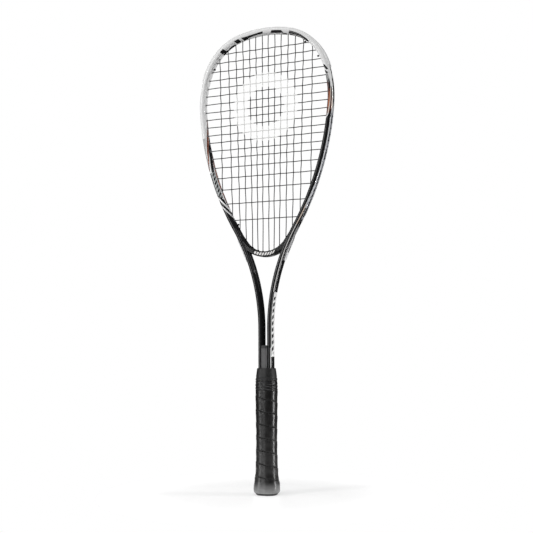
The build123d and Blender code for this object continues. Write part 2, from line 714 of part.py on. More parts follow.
# staples: flat wire, crown outside the cap's skirt, two legs into the pallets
staple_parts, staple_holes = [], []
for sx in (-1, 1):
    for sy in (-1, 1):
        y = sy * 5.2
        z = 17.5
        crown = Pos(sx * 15.45, y, z) * Box(0.6, 9.0, 1.2)
        legs = [Pos(sx * 13.15, y + o, z) * Box(4.1, 0.6, 1.2) for o in (-4.2, 4.2)]
        s = crown + legs
        staple_parts.append(s)
        staple_holes.append(s)
cap = cap - staple_holes
keep(cap, "butt_cap")
badge = Pos(0, 0, 0.3) * Cylinder(BADGE_R, 0.88, align=(Align.CENTER, Align.CENTER, Align.MIN))
keep(badge, "butt_badge")
for name, half in zip(("handle_pallet_front", "handle_pallet_back"), halves):
    cut = Part() + half - staple_holes
    keep(cut, name)
staples = Compound(children=[s.solids()[0] for s in staple_parts])
keep(staples, "butt_cap_staples")

core = loft([rr(z, PALLET_W + 0.1, PALLET_DEPTH + 0.1, PALLET_R) for z in (-5, 176.1)], ruled=True)
cap_out = stack([(z, w + 0.1, d + 0.1, r) for z, w, d, r in CAP])
grip = stack(GRIP) - core - cap_out - staple_holes
grip = max(grip.solids(), key=lambda s: s.volume)
keep(grip, "grip_wrap")
tape = stack(TAPE) - core
keep(tape, "finishing_tape")
collar = stack(COLLAR) - core - envelope - insert
collar = max(collar.solids(), key=lambda s: s.volume)
keep(collar, "grip_collar")

print("strings: mains %.0f mm, crosses %.0f mm" % (MAIN_LENGTH, CROSS_LENGTH))
print("nodes:", len(set(MADE)), sorted(set(MADE)))
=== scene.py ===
import bpy
import math
import numpy as np
from mathutils import Vector, Matrix, noise


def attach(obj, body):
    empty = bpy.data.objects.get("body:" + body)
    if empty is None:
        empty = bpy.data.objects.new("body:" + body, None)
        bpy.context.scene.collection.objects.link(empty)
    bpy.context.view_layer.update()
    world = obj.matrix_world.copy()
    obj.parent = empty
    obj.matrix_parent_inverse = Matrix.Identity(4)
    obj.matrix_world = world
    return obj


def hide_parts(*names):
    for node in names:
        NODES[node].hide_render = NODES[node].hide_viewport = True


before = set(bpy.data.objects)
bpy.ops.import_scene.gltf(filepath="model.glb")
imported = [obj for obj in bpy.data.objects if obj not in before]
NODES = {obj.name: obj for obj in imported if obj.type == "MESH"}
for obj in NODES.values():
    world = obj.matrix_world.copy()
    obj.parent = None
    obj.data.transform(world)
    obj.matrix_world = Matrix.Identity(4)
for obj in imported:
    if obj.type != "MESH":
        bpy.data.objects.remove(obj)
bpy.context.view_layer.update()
MM = 0.001

# =====================================================================================
# The hoop's centreline, as the part draws it: tangent arcs in millimetres, right half.
# =====================================================================================
TOP_Z = 681.0
ARC_R = [165.0, 77.878, 96.26, 159.77, 419.67, 293.5]
ARC_A = [13.209, 42.011, 20.09, 19.36, 25.58, -30.25]
SHAFT_BOTTOM = 14.0
STRIP_END = 337.0
BRIDGE_C, BRIDGE_RI, BRIDGE_RO = 388.0, 38.0, 46.0


class Arc2:
    def __init__(self, x, z, head, radius, turn, s0):
        self.head, self.R, self.s0 = head, radius, s0
        self.turn = math.radians(turn)
        self.sg = 1.0 if turn > 0 else -1.0
        self.length = abs(self.turn) * radius
        self.cx = x - math.sin(head) * radius * self.sg
        self.cz = z - math.cos(head) * radius * self.sg

    def at(self, s, u=0.0):
        h = self.head + self.sg * (s - self.s0) / self.R
        nx, nz = math.sin(h), math.cos(h)
        r = self.R * self.sg + u
        return self.cx + nx * r, self.cz + nz * r, nx, nz


ARCS = []
_x, _z, _h, _s = 0.0, TOP_Z, 0.0, 0.0
for _r, _a in zip(ARC_R, ARC_A):
    _arc = Arc2(_x, _z, _h, _r, _a, _s)
    ARCS.append(_arc)
    _s += _arc.length
    _x, _z, _, _ = _arc.at(_s)
    _h += _arc.turn
S_ARCS, SHAFT_X, SHAFT_TOP = _s, _x, _z
S_SHAFT = S_ARCS + SHAFT_TOP - SHAFT_BOTTOM


def hoop(s, u=0.0):
    side = 1.0 if s >= 0 else -1.0
    a = abs(s)
    if a >= S_ARCS:
        return side * (SHAFT_X + u), SHAFT_TOP - (a - S_ARCS), side, 0.0
    for arc in ARCS:
        if a <= arc.s0 + arc.length + 1e-6:
            x, z, nx, nz = arc.at(a, u)
            return side * x, z, side * nx, nz


def locate(x, z, side):
    """Arc length and outward offset, on the half that side names, of the point nearest on the hoop."""
    x = x * side
    best = None
    for arc in ARCS:
        vx, vz = x - arc.cx, z - arc.cz
        r = math.hypot(vx, vz)
        h = math.atan2(vx * arc.sg, vz * arc.sg)
        d = (h - arc.head) * arc.sg * arc.R
        lo = -14.0 if arc is ARCS[0] else -0.5
        if lo <= d <= arc.length + 0.5:
            u = (r - arc.R) * arc.sg
            if best is None or abs(u) < abs(best[1]):
                best = (arc.s0 + d, u)
    if z < SHAFT_TOP + 1.0 and (best is None or abs(x - SHAFT_X) < abs(best[1])):
        best = (S_ARCS + SHAFT_TOP - z, x - SHAFT_X)
    if best is None:
        best = (0.0, 0.0)
    return side * best[0], best[1]


def s_at_z(z):
    lo, hi = 60.0, S_ARCS + 250.0
    for _ in range(50):
        mid = (lo + hi) / 2
        if hoop(mid)[1] > z:
            lo = mid
        else:
            hi = mid
    return (lo + hi) / 2


S_STRIP = s_at_z(STRIP_END)

# =====================================================================================
# Small node-tree helper
# =====================================================================================


class Tree:
    def __init__(self, name):
        self.mat = bpy.data.materials.new(name)
        self.mat.use_nodes = True
        self.nt = self.mat.node_tree
        self.nt.nodes.clear()
        self.out = self.nt.nodes.new("ShaderNodeOutputMaterial")
        self.bsdf = self.nt.nodes.new("ShaderNodeBsdfPrincipled")
        self.nt.links.new(self.bsdf.outputs[0], self.out.inputs[0])
        self.geo = None

    def put(self, socket, value):
        if isinstance(value, bpy.types.NodeSocket):
            self.nt.links.new(value, socket)
        else:
            if socket.type == "RGBA" and len(value) == 3:
                value = (*value, 1.0)
            socket.default_value = value

    def math(self, op, a, b=0.0, c=0.0, clamp=False):
        n = self.nt.nodes.new("ShaderNodeMath")
        n.operation, n.use_clamp = op, clamp
        for sock, v in zip(n.inputs, (a, b, c)):
            self.put(sock, v)
        return n.outputs[0]

    def vec(self, op, a, b=(0, 0, 0)):
        n = self.nt.nodes.new("ShaderNodeVectorMath")
        n.operation = op
        self.put(n.inputs[0], a)
        self.put(n.inputs[1], b)
        return n.outputs["Value"] if op in ("DOT_PRODUCT", "LENGTH", "DISTANCE") else n.outputs[0]

    def xyz(self, x, y, z):
        n = self.nt.nodes.new("ShaderNodeCombineXYZ")
        for sock, v in zip(n.inputs, (x, y, z)):
            self.put(sock, v)
        return n.outputs[0]

    def split(self, v):
        n = self.nt.nodes.new("ShaderNodeSeparateXYZ")
        self.put(n.inputs[0], v)
        return n.outputs

    def pos(self):
        """The object's own coordinates, in metres in the row frame."""
        n = self.nt.nodes.new("ShaderNodeTexCoord")
        return n.outputs["Object"]

    def attr(self, name):
        n = self.nt.nodes.new("ShaderNodeAttribute")
        n.attribute_type, n.attribute_name = "GEOMETRY", name
        return n.outputs["Fac"]

    def scale(self, v, k):
        n = self.nt.nodes.new("ShaderNodeVectorMath")
        n.operation = "MULTIPLY"
        self.put(n.inputs[0], v)
        n.inputs[1].default_value = k if hasattr(k, "__len__") else (k, k, k)
        return n.outputs[0]

    def noise(self, v, scale, detail=3.0, rough=0.55, dist=0.0):
        n = self.nt.nodes.new("ShaderNodeTexNoise")
        self.put(n.inputs["Vector"], v)
        n.inputs["Scale"].default_value = scale
        n.inputs["Detail"].default_value = detail
        n.inputs["Roughness"].default_value = rough
        n.inputs["Distortion"].default_value = dist
        return n.outputs[0]

    def voronoi(self, v, scale, feature="F1", out="Distance", rand=1.0):
        n = self.nt.nodes.new("ShaderNodeTexVoronoi")
        n.feature = feature
        self.put(n.inputs["Vector"], v)
        n.inputs["Scale"].default_value = scale
        n.inputs["Randomness"].default_value = rand
        return n.outputs[out]

    def mix(self, f, a, b, blend="MIX"):
        n = self.nt.nodes.new("ShaderNodeMix")
        n.data_type, n.blend_type, n.clamp_factor = "RGBA", blend, True
        self.put(n.inputs[0], f)
        self.put(n.inputs[6], a)
        self.put(n.inputs[7], b)
        return n.outputs[2]

    def ramp(self, f, lo, hi, a=0.0, b=1.0, smooth=True):
        n = self.nt.nodes.new("ShaderNodeMapRange")
        n.interpolation_type = "SMOOTHSTEP" if smooth else "LINEAR"
        self.put(n.inputs["Value"], f)
        for k, v in (("From Min", lo), ("From Max", hi), ("To Min", a), ("To Max", b)):
            n.inputs[k].default_value = v
        return n.outputs[0]

    def bump(self, height, strength, distance, normal=None):
        n = self.nt.nodes.new("ShaderNodeBump")
        n.inputs["Strength"].default_value = strength
        n.inputs["Distance"].default_value = distance
        self.put(n.inputs["Height"], height)
        if normal is not None:
            self.put(n.inputs["Normal"], normal)
        return n.outputs[0]

    def set(self, **kw):
        for k, v in kw.items():
            self.put(self.bsdf.inputs[k.replace("_", " ")], v)


def mask_poly(t, p3, pts, soft=0.22):
    """1 inside a convex polygon of (S, C) points; p3 is the vector (S, C, 1)."""
    n = len(pts)
    area = sum(pts[i][0] * pts[(i + 1) % n][1] - pts[(i + 1) % n][0] * pts[i][1] for i in range(n))
    sg = 1.0 if area > 0 else -1.0
    d = None
    for i in range(n):
        (x0, y0), (x1, y1) = pts[i], pts[(i + 1) % n]
        dx, dy = x1 - x0, y1 - y0
        ln = math.hypot(dx, dy)
        if ln < 1e-6:
            continue
        nx, ny = -dy / ln * sg, dx / ln * sg
        e = t.vec("DOT_PRODUCT", p3, (nx, ny, -(nx * x0 + ny * y0)))
        d = e if d is None else t.math("MINIMUM", d, e)
    return t.math("MULTIPLY_ADD", d, 1.0 / soft, 0.5, clamp=True)


def mask_strip(t, p3, rows, soft=0.22):
    """1 inside a band given as rows (S, C low, C high); the rows run along the hoop."""
    out = None
    for a, b in zip(rows[:-1], rows[1:]):
        lo = 0.02
        q = [(a[0] - lo, a[1]), (b[0] + (lo if b[0] > a[0] else -lo), b[1]),
             (b[0] + (lo if b[0] > a[0] else -lo), b[2]), (a[0] - lo, a[2])]
        m = mask_poly(t, p3, q, soft)
        out = m if out is None else t.math("MAXIMUM", out, m)
    return out


# =====================================================================================
# Meshes
# =====================================================================================


def new_mesh(name, verts, faces, smooth_angle=None):
    me = bpy.data.meshes.new(name)
    me.from_pydata([tuple(v) for v in verts], [], faces)
    me.validate()
    me.update()
    for p in me.polygons:
        p.use_smooth = True
    if smooth_angle:
        me.set_sharp_from_angle(angle=math.radians(smooth_angle))
    ob = bpy.data.objects.new(name, me)
    bpy.context.scene.collection.objects.link(ob)
    return ob


# ---- section of the frame tube -------------------------------------------------------
TUBE_W, TUBE_D, TUBE_R = 7.8, 14.4, 3.4
CH_W, CH_FLOOR = 6.0, 2.2


def section(channel):
    """Points (u, v) round the tube, starting at the middle of the front, going outwards."""
    a, b, r = TUBE_W / 2, TUBE_D / 2, TUBE_R
    pts = [(0.0, -b)]

    def arc(cu, cv, a0, n=9):
        for k in range(n + 1):
            t = math.radians(a0 + 90.0 * k / n)
            pts.append((cu + r * math.cos(t), cv + r * math.sin(t)))

    arc(a - r, -(b - r), -90)
    e = CH_W / 2
    f = CH_FLOOR if channel else a
    pts.extend([(a, -e - 0.22), (a - (0.22 if channel else 0), -e), (f, -e), (f, -e / 2), (f, 0), (f, e / 2),
                (f, e), (a - (0.22 if channel else 0), e), (a, e + 0.22)])
    arc(a - r, b - r, 0)
    pts.append((0.0, b))
    arc(-(a - r), b - r, 90)
    pts.extend([(-a, 1.9), (-a, 0.0), (-a, -1.9)])
    arc(-(a - r), -(b - r), 180)
    return pts


def frame_stations():
    out = set()
    s = 0.0
    while s < S_ARCS + 8:
        out.add(round(s, 3))
        s += 1.6
    while s < S_SHAFT - 1:
        out.add(round(s, 3))
        s += 4.0
    out.add(S_SHAFT)
    out.add(S_STRIP)
    out |= {-q for q in out}
    return sorted(out)


# Where the printed design is laid out from: a fixed point in front of the racket. A point of the
# surface takes the hoop coordinates (arc length S, offset C) of where its line meets the plane y = 0.
DESIGN_AZ, DESIGN_EL, DESIGN_D = math.radians(23.0), math.radians(-5.21), 1352.0
DESIGN_EYE = (math.sin(DESIGN_AZ) * math.cos(DESIGN_EL) * DESIGN_D,
              -math.cos(DESIGN_AZ) * math.cos(DESIGN_EL) * DESIGN_D,
              328.0 + math.sin(DESIGN_EL) * DESIGN_D)


def design_coords(s, u, v):
    x, z, _, _ = hoop(s, u)
    ex, ey, ez = DESIGN_EYE
    t = (0.0 - ey) / (v - ey)
    return locate(ex + (x - ex) * t, ez + (z - ez) * t, 1.0 if s >= 0 else -1.0)


def make_frame_skin():
    stations = frame_stations()
    sec_c, sec_p = section(True), section(False)
    n = len(sec_c)
    rows = []                       # (s, section)
    for s in stations:
        if abs(abs(s) - S_STRIP) < 1e-6:
            pair = [(s, sec_p), (s, sec_c)] if s < 0 else [(s, sec_c), (s, sec_p)]
            rows.extend(pair)
        else:
            rows.append((s, sec_c if abs(s) < S_STRIP else sec_p))
    verts, faces = [], []
    for s, sec in rows:
        for u, v in sec:
            x, z, _, _ = hoop(s, u)
            verts.append((x * MM, v * MM, z * MM))
    nr = len(rows)
    kind = []
    for i in range(nr - 1):
        for j in range(n):
            k = (j + 1) % n
            faces.append((i * n + j, i * n + k, (i + 1) * n + k, (i + 1) * n + j))
            kind.append((i, j))
    faces.append(tuple(range(n))[::-1])
    kind.append((0, 0))
    faces.append(tuple((nr - 1) * n + j for j in range(n)))
    kind.append((nr - 1, 0))
    me = bpy.data.meshes.new("frame_skin")
    me.from_pydata(verts, [], faces)
    me.update()
    for p in me.polygons:
        p.use_smooth = True
    me.set_sharp_from_angle(angle=math.radians(38))
    ob = bpy.data.objects.new("frame_skin", me)
    bpy.context.scene.collection.objects.link(ob)
    # design coordinates at each vertex, for the side that faces the front and for its twin
    front, twin = [], []
    for s, sec in rows:
        for u, v in sec:
            front.append(design_coords(s, u, v))
            twin.append(design_coords(-s if s != 0 else -0.0, u, -v))
    nl = len(me.loops)
    S = np.zeros(nl, np.float32)
    C = np.zeros(nl, np.float32)
    vi = np.zeros(nl, np.int32)
    me.loops.foreach_get("vertex_index", vi)
    mats = np.zeros(len(me.polygons), np.int32)
    for p, (i, j) in zip(me.polygons, kind):
        s, sec = rows[i]
        u0, v0 = sec[j]
        u1, v1 = sec[(j + 1) % n]
        nu, nv = (v1 - v0), -(u1 - u0)
        ln = math.hypot(nu, nv) or 1.0
        nu, nv = nu / ln, nv / ln
        a = math.radians(23.0) * max(-1.0, min(1.0, s / 120.0))
        um, vm = (u0 + u1) / 2, (v0 + v1) / 2
        facing = nu * math.sin(a) - nv * math.cos(a)
        if abs(vm) <= CH_W / 2 + 0.01 and um > CH_FLOOR - 0.1:
            facing = math.sin(a)
        src = front if facing > 0 else twin
        for li in p.loop_indices:
            S[li], C[li] = src[vi[li]]
        sm = S[p.loop_start]
        mats[p.index] = 0 if abs(sm) < 134 else (3 if abs(sm) > 470 else (1 if sm > 0 else 2))
    for name, data in (("S", S), ("C", C)):
        at = me.attributes.new(name, "FLOAT", "CORNER")
        at.data.foreach_set("value", data)
    me.polygons.foreach_set("material_index", mats)
    return ob


# ---- paint -----------------------------------------------------------------------------
WHITE = (0.80, 0.80, 0.80)
BLACK = (0.010, 0.010, 0.011)
BROWN = (0.095, 0.022, 0.013)
COPPER = (0.42, 0.125, 0.045)
CREAM = (0.74, 0.62, 0.53)
SILVER = (0.33, 0.34, 0.365)
SMOKE = (0.12, 0.12, 0.125)


def paint(name, layers, base):
    """Lacquer over the printed design. layers: list of (colour, [masks])."""
    t = Tree(name)
    S, C = t.attr("S"), t.attr("C")
    p3 = t.xyz(S, C, 1.0)
    col = base(t, S, C, p3) if callable(base) else base
    for colour, mk in layers:
        m = mk(t, S, C, p3)
        col = t.mix(m, col, colour(t, S, C) if callable(colour) else colour)
    pos = t.pos()
    # faint unevenness of the colour coat, and fine rubbed spots along the outer edge
    tint = t.ramp(t.noise(pos, 55.0, 3.0), 0.3, 0.7, 0.955, 1.0)
    grey = t.xyz(tint, tint, tint)
    col = t.mix(1.0, col, grey, "MULTIPLY")
    scuff = t.ramp(t.noise(t.scale(pos, (1.0, 1.0, 0.35)), 620.0, 2.0), 0.71, 0.76)
    edge = t.ramp(t.attr("C"), 4.3, 5.4)
    scuff = t.math("MULTIPLY", scuff, t.math("MULTIPLY", edge, 0.35))
    col = t.mix(scuff, col, (0.30, 0.29, 0.28))
    peel = t.noise(pos, 900.0, 2.0)
    rough = t.ramp(t.noise(pos, 130.0, 4.0), 0.3, 0.75, 0.24, 0.36)
    t.set(Base_Color=col, Roughness=rough, Normal=t.bump(peel, 0.10, 0.00006))
    t.bsdf.inputs["Coat Weight"].default_value = 0.38
    t.bsdf.inputs["Coat Roughness"].default_value = 0.09
    t.bsdf.inputs["Specular IOR Level"].default_value = 0.12
    return t.mat


def poly(*pts):
    return lambda t, S, C, p3: mask_poly(t, p3, pts)


def strip(*rows):
    return lambda t, S, C, p3: mask_strip(t, p3, rows)


def carbon(t, S, C):
    """Black base coat with a barely visible diagonal weave under the lacquer."""
    q = t.math("PINGPONG", t.math("ADD", S, C), 0.9)
    r = t.math("PINGPONG", t.math("SUBTRACT", S, C), 0.9)
    w = t.math("GREATER_THAN", q, r)
    return t.mix(w, (0.0075, 0.0075, 0.008), (0.0135, 0.0135, 0.0145))


def silver_hatch(t, S, C):
    """Silver panel with slanting lines."""
    w = t.math("PINGPONG", t.math("MULTIPLY_ADD", C, 1.7, S), 4.4)
    line = t.ramp(w, 0.5, 1.1)
    fine = t.ramp(t.math("PINGPONG", t.math("MULTIPLY_ADD", C, 1.7, S), 1.1), 0.2, 0.9, 0.75, 1.0)
    base = t.mix(line, (0.13, 0.135, 0.145), (0.56, 0.57, 0.60))
    k = t.xyz(fine, fine, fine)
    return t.mix(1.0, base, k, "MULTIPLY")


def mark_blocks(t, S, C):
    """Pale panel with a plain double row of small slanting bars."""
    w = t.math("PINGPONG", t.math("MULTIPLY_ADD", C, 0.9, S), 3.3)
    line = t.ramp(w, 1.45, 1.75)
    row = t.math("MULTIPLY", t.ramp(C, -1.5, -1.2), t.ramp(C, 3.3, 3.0))
    edge = t.ramp(C, 3.9, 4.3)
    m = t.math("MAXIMUM", t.math("MULTIPLY", line, row), t.math("MULTIPLY", edge, 0.8))
    return t.mix(m, (0.42, 0.44, 0.44), (0.012, 0.012, 0.013))


paint_top = paint("paint_head_top", [
    (BLACK, poly((-79.0, 3.3), (-72.5, 3.6), (-69.0, -6.4), (-77.4, -7.6))),
    (BLACK, poly((-71.5, -4.0), (-51.4, -3.3), (-51.4, -9.0), (-74.0, -9.0))),
    (BLACK, poly((-52.3, 2.0), (-44.6, 1.6), (-40.4, -5.2), (-48.7, -5.2))),
    (BLACK, poly((-40.1, 1.2), (-29.6, 0.3), (-28.2, -4.4), (-35.3, -5.3))),
    (BLACK, strip((-30.6, -3.6, 0.3), (-17.0, -2.2, 0.7), (-4.2, -1.6, 1.9))),
    (BLACK, poly((7.6, -4.6), (10.0, 1.8), (25.4, 1.6), (31.6, -3.6))),
    (BLACK, strip((38.4, -2.9, 1.5), (57.5, -2.6, 0.4), (75.8, -4.2, -2.0))),
    (BLACK, poly((121.0, -6.4), (122.5, -3.0), (132.2, 0.8), (131.1, -3.0))),
    (BLACK, poly((130.9, -6.9), (132.0, -3.8), (136.6, -0.7), (137.6, -3.6))),
], WHITE)

paint_right = paint("paint_head_right", [
    (BLACK, poly((130.9, -6.9), (132.0, -3.8), (136.6, -0.7), (137.6, -3.6))),
    ((0.30, 0.30, 0.30), poly((137.5, -8.0), (137.5, -1.7), (149.0, -0.9), (157.2, -2.8), (153.4, -8.0))),
    (BLACK, strip((138.5, -9.0, -4.8), (146.0, -9.0, -4.2), (153.0, -9.0, -3.8))),
    (BROWN, strip((151.0, -9.0, -0.5), (166.3, -9.0, -0.9), (178.3, -9.0, -1.8), (197.7, -9.0, -3.7),
                  (212.0, -9.0, -8.0))),
    (BLACK, strip((146.0, -2.3, -1.0), (153.0, -3.6, -0.3), (161.0, -3.6, -0.8))),
    (COPPER, strip((165.0, -3.3, -2.4), (171.0, -3.5, -2.1), (178.3, -4.0, -2.4), (188.8, -4.2, -3.0))),
    (CREAM, strip((160.5, -1.0, -0.2), (178.4, -2.1, -1.2), (197.2, -3.8, -2.3))),
    (BROWN, strip((157.2, 0.0, 0.6), (161.0, -0.1, 1.3), (172.6, -0.8, 1.4), (184.4, -1.2, 0.9), (200.0, -2.3, 1.2))),
    (BLACK, strip((158.0, 0.3, 1.0), (166.0, 0.1, 1.1), (174.0, 0.4, 1.0))),
    (CREAM, strip((176.0, 1.5, 2.3), (186.0, 1.1, 2.4), (193.0, 1.3, 2.1))),
    (silver_hatch, strip((189.0, 3.2, 9.0), (194.0, 0.9, 9.0), (300.0, 0.8, 9.0), (343.0, -1.5, 9.0))),
    (carbon, poly((190.5, 1.7), (211.0, -8.5), (300.0, -8.5), (300.0, 0.9))),
    (carbon, poly((299.9, 0.9), (299.9, -8.5), (346.0, -8.5), (346.0, -1.5))),
    (carbon, poly((340.0, -9.0), (480.0, -9.0), (480.0, 9.0), (340.0, 9.0))),
    (carbon, strip((300.0, 5.6, 9.0), (322.0, 5.4, 9.0))),
    ((0.74, 0.75, 0.77), strip((203.0, 1.0, 2.1), (300.0, 0.8, 2.0), (336.0, -1.0, 0.3))),
    # painted light: the inner side of the arm a dim grey instead of black, as if lit from the left
    ((0.045, 0.045, 0.046), strip((388.0, -9.0, -4.2), (410.0, -9.0, -3.6), (440.0, -9.0, -3.7), (480.0, -9.0, -4.0))),
    (CREAM, strip((333.0, -1.0, -0.6), (340.0, -1.2, 0.0), (347.0, -1.3, 0.1), (366.0, -1.6, -0.4))),
    ((0.72, 0.71, 0.70), strip((365.9, -1.6, -0.4), (391.5, -1.5, -0.3), (407.5, -1.5, -0.3), (422.5, -1.0, 0.2),
                               (440.0, -0.6, 0.5), (480.0, -0.9, 0.3))),
    ((0.66, 0.66, 0.67), strip((324.0, 3.0, 3.8), (345.0, 2.6, 4.5), (366.0, 2.5, 3.9))),
    ((0.50, 0.50, 0.51), strip((364.0, 2.3, 3.1), (390.0, 3.0, 4.2), (406.0, 2.8, 4.4), (421.0, 3.6, 5.0))),
    ((0.84, 0.84, 0.84), strip((350.0, 5.0, 9.0), (366.0, 5.2, 9.0), (388.0, 6.3, 9.0))),
], WHITE)

paint_left = paint("paint_head_left", [
    # painted shade: the outer side of the arm grey instead of white, where it turns away from the light
    ((0.42, 0.42, 0.42), strip((-216.0, 1.2, 9.0), (-234.0, 3.3, 9.0), (-249.0, 4.6, 9.0), (-268.0, 6.6, 9.0))),
    (BROWN, strip((-180.0, -9.0, -6.8), (-188.2, -7.2, -5.4), (-204.0, -5.8, -3.4), (-219.4, -4.0, -0.7), (-227.0, -2.6, 0.9),
                  (-242.4, 0.5, 3.0), (-257.7, 3.2, 5.0), (-268.0, 5.0, 6.6))),
    (COPPER, strip((-206.0, -5.0, -4.6), (-222.0, -2.9, -2.0), (-238.0, 0.5, 1.4), (-256.0, 3.6, 4.2))),
    (BLACK, strip((-216.0, -5.8, -5.1), (-228.0, -5.2, -2.4), (-236.0, -5.7, -0.9), (-252.0, -4.5, 0.3),
                  (-267.2, -2.0, 2.3), (-274.0, -1.0, 1.9))),
    (BROWN, strip((-236.0, -8.0, -7.0), (-240.0, -7.0, -5.7), (-260.7, -5.2, -3.5), (-285.4, -4.7, -3.0), (-302.7, -5.0, -3.2),
                  (-316.8, -5.5, -3.7), (-338.0, -5.9, -4.2))),
    (COPPER, strip((-258.0, -4.6, -4.2), (-285.0, -4.1, -3.5), (-310.0, -4.6, -4.0))),
    (mark_blocks, strip((-271.0, -0.5, 9.0), (-275.0, -2.2, 9.0), (-314.5, -2.2, 9.0))),
    (carbon, poly((-301.0, 9.0), (-318.0, -2.4), (-345.0, -3.6), (-480.0, -3.6), (-480.0, 9.0))),
    (carbon, poly((-337.0, -9.0), (-338.0, -4.0), (-345.0, -3.2), (-480.0, -3.2), (-480.0, -9.0))),
    (WHITE, poly((-299.8, 9.0), (-306.0, 9.0), (-350.4, -9.0), (-344.2, -9.0))),
    (WHITE, poly((-314.8, 9.0), (-319.6, 9.0), (-362.2, -9.0), (-357.4, -9.0))),
    (SMOKE, strip((-372.0, -2.2, -1.7), (-420.0, -2.3, -1.6), (-470.0, -2.0, -1.5))),
    (SMOKE, strip((-366.0, 0.4, 0.8), (-410.0, 0.5, 0.9), (-440.0, 0.4, 0.8))),
], WHITE)


def shaft_blocks(t, S, C, p3):
    """White band down the outer side of the right tube."""
    lane = t.math("MULTIPLY", t.ramp(S, 470.3, 470.7), t.ramp(S, 565.0, 564.6))
    return t.math("MULTIPLY", t.ramp(C, 0.9, 1.15), lane)


def shaft_dashes(t, S, C, p3):
    """Plain row of equal slanting dashes along the white band."""
    w = t.math("PINGPONG", t.math("MULTIPLY_ADD", C, 1.1, S), 4.6)
    lane = t.math("MULTIPLY", t.ramp(C, 1.7, 1.9), t.ramp(C, 4.5, 4.3))
    span = t.math("MULTIPLY", t.ramp(S, 477.0, 477.4), t.ramp(S, 560.4, 560.0))
    return t.math("MULTIPLY", t.ramp(w, 1.8, 2.1), t.math("MULTIPLY", lane, span))


paint_shaft = paint("paint_shaft", [
    ((0.13, 0.13, 0.13), strip((468.0, -0.9, 0.2), (520.0, -1.0, 0.0), (556.0, -1.0, 0.2))),
    ((0.74, 0.74, 0.74), strip((552.0, -0.8, 0.4), (650.0, -0.8, 0.4))),
    # painted light: the inner side of the shaft tube a dim grey instead of black, as if lit from the left
    ((0.045, 0.045, 0.046), strip((468.0, -9.0, -4.0), (540.0, -9.0, -4.2), (600.0, -9.0, -4.6), (700.0, -9.0, -4.8))),
    (WHITE, shaft_blocks),
    (BLACK, shaft_dashes),
], lambda t, S, C, p3: carbon(t, S, C))

skin = make_frame_skin()
for m in (paint_top, paint_right, paint_left, paint_shaft):
    skin.data.materials.append(m)
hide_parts("frame_tube")
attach(skin, "root")

# =====================================================================================
# Moulded and drawn plastics on the CAD nodes
# =====================================================================================


def moulded(name, colour, rough=(0.3, 0.42), spots=0.06, bump=0.12, scale=700.0, coat=0.0, dirt=None):
    t = Tree(name)
    pos = t.pos()
    n = t.ramp(t.noise(pos, 90.0, 4.0), 0.3, 0.7, 1.0 - spots, 1.0)
    col = t.mix(1.0, colour, t.xyz(n, n, n), "MULTIPLY")
    if dirt:
        d = t.ramp(t.noise(pos, 260.0, 4.0), 0.62, 0.74)
        col = t.mix(t.math("MULTIPLY", d, 0.35), col, dirt)
    t.set(Base_Color=col, Roughness=t.ramp(t.noise(pos, 210.0, 3.0), 0.3, 0.7, *rough),
          Normal=t.bump(t.noise(pos, scale, 3.0), bump, 0.00008))
    if coat:
        t.bsdf.inputs["Coat Weight"].default_value = coat
        t.bsdf.inputs["Coat Roughness"].default_value = 0.08
    return t.mat


def assign(node, mat):
    ob = NODES[node]
    if not ob.material_slots:
        ob.data.materials.append(mat)
    for s in ob.material_slots:
        s.link = "OBJECT"
        s.material = mat


def string_material():
    """Drawn nylon: dark, slightly waxy, with a spiral under the coat and a plain painted ring."""
    t = Tree("string_nylon")
    pos = t.pos()
    x, y, z = t.split(pos)
    cx, cz, ro, ri = 0.0, 0.5672, 0.052, 0.030
    r = t.vec("DISTANCE", t.xyz(x, 0.0, z), (cx, 0.0, cz))
    ring = t.math("MULTIPLY", t.ramp(r, ri - 0.0006, ri + 0.0006), t.ramp(r, ro + 0.0006, ro - 0.0006))
    worn = t.ramp(t.noise(pos, 420.0, 3.0), 0.32, 0.46)
    ring = t.math("MULTIPLY", ring, t.math("MULTIPLY_ADD", worn, 0.35, 0.65))
    tint = t.ramp(t.noise(pos, 160.0, 3.0), 0.3, 0.7, 0.75, 1.2)
    base = t.mix(1.0, (0.005, 0.005, 0.0055), t.xyz(tint, tint, tint), "MULTIPLY")
    col = t.mix(ring, base, (0.78, 0.78, 0.77))
    spiral = t.math("SINE", t.math("MULTIPLY", t.math("ADD", t.math("ADD", x, z), t.math("MULTIPLY", y, 1.3)), 6500.0))
    rough = t.math("MULTIPLY_ADD", ring, 0.2, 0.34)
    t.set(Base_Color=col, Roughness=rough, Normal=t.bump(spiral, 0.25, 0.00003))
    t.bsdf.inputs["Specular IOR Level"].default_value = 0.08
    return t.mat


